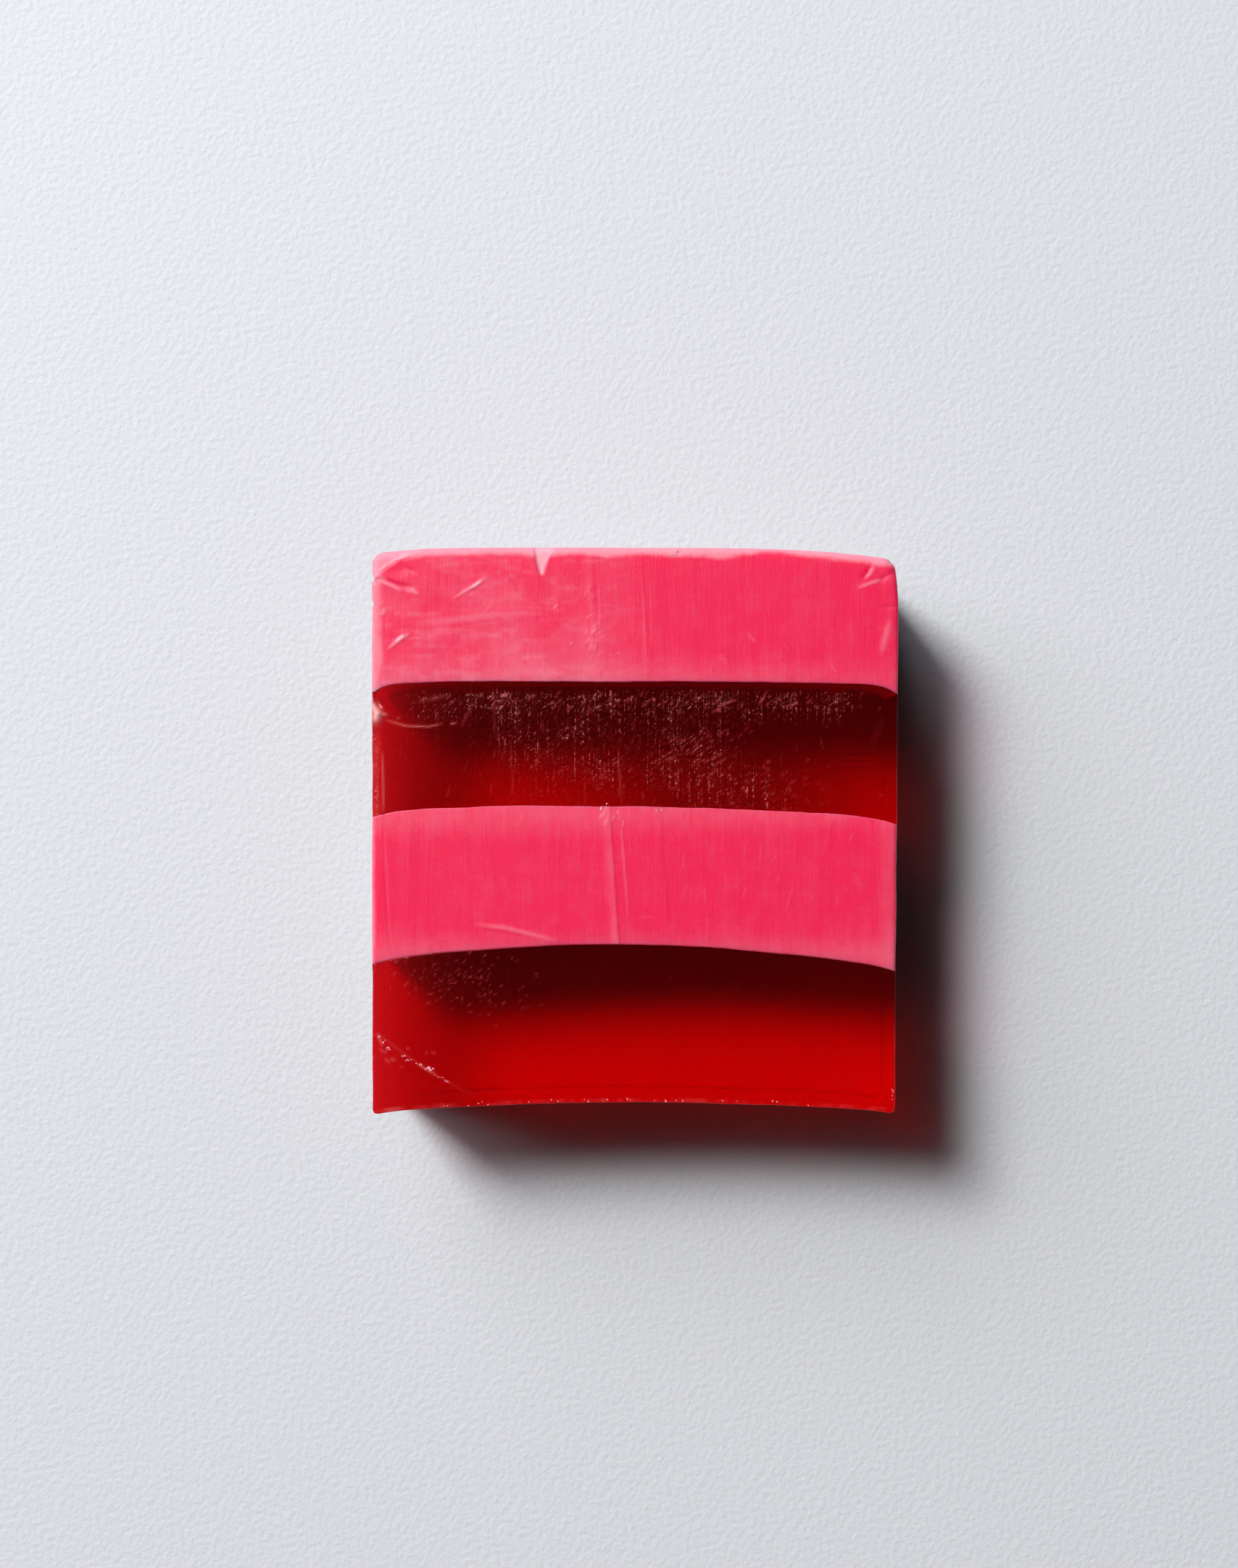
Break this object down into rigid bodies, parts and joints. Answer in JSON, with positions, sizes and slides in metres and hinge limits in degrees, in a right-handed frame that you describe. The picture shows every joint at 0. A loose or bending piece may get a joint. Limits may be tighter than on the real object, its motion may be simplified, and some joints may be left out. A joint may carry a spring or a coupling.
{
  "type": "layered soap bar",
  "caption": "Flat hand-cut bar of glycerine soap in bonded stripes of opaque pink and clear red, lying on a cut face, with a shallow arch along one edge.",
  "frame": {"origin": "centre of the cut face that the bar lies on", "axes": "+Z up through the thickness, +Y towards the first-poured pink edge, +X to the right as seen from above with +Y up"},
  "size_m": [0.07, 0.0754, 0.025],
  "materials": {
    "opaque_pink_soap": "satin opaque soap with knife drag marks",
    "clear_red_soap": "clear ruby-red glycerine soap with a rippled, lightly scratched cut surface"
  },
  "bodies": {
    "root": {"top_pink_layer": "opaque_pink_soap", "upper_red_layer": "clear_red_soap", "middle_pink_layer": "opaque_pink_soap", "lower_red_layer": "clear_red_soap"}
  },
  "joints": []
}
